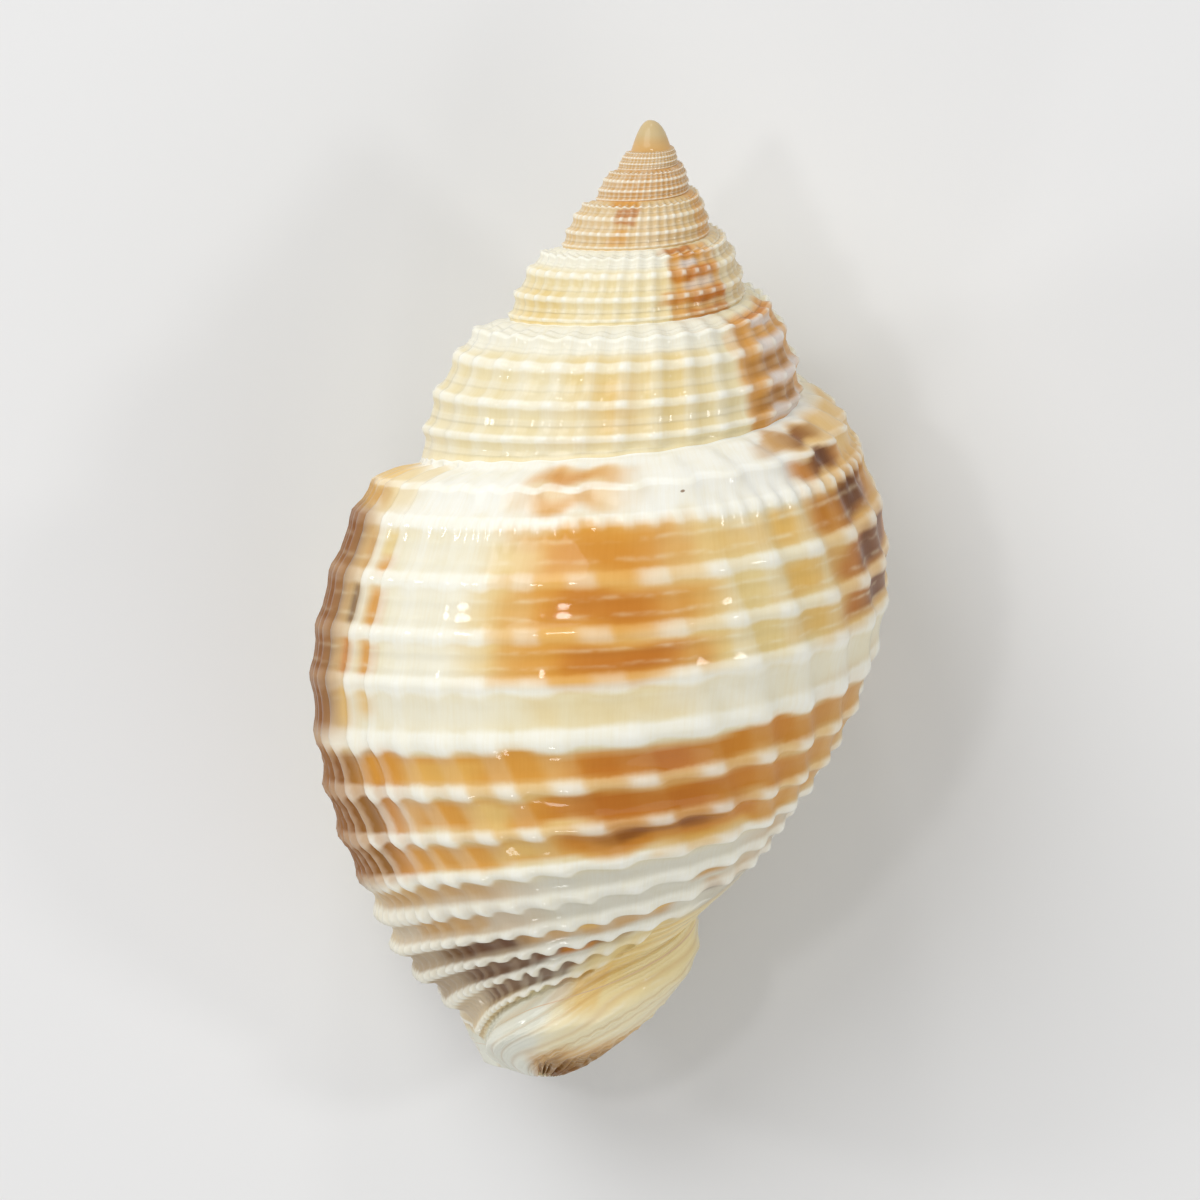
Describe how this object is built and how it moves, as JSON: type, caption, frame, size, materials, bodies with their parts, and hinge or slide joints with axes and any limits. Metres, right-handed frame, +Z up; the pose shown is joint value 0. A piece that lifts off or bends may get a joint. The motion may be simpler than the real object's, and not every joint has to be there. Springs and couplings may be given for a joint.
{
  "type": "nutmeg shell",
  "caption": "Coiled sea snail shell with a tall stepped spire, a swollen body whorl netted with raised cords and ribs, and an open aperture with a folded columella.",
  "frame": {"origin": "centre of the bounding box in plan, on the table that the shell lies on", "axes": "+Y along the coiling axis toward the apex, +Z up, away from the aperture, +X to the right seen from above"},
  "size_m": [0.0252, 0.0418, 0.0221],
  "materials": {
    "shell": "naturally glossy shell, cream with tan and orange-brown bands"
  },
  "bodies": {
    "root": {"shell": "shell"}
  },
  "joints": []
}
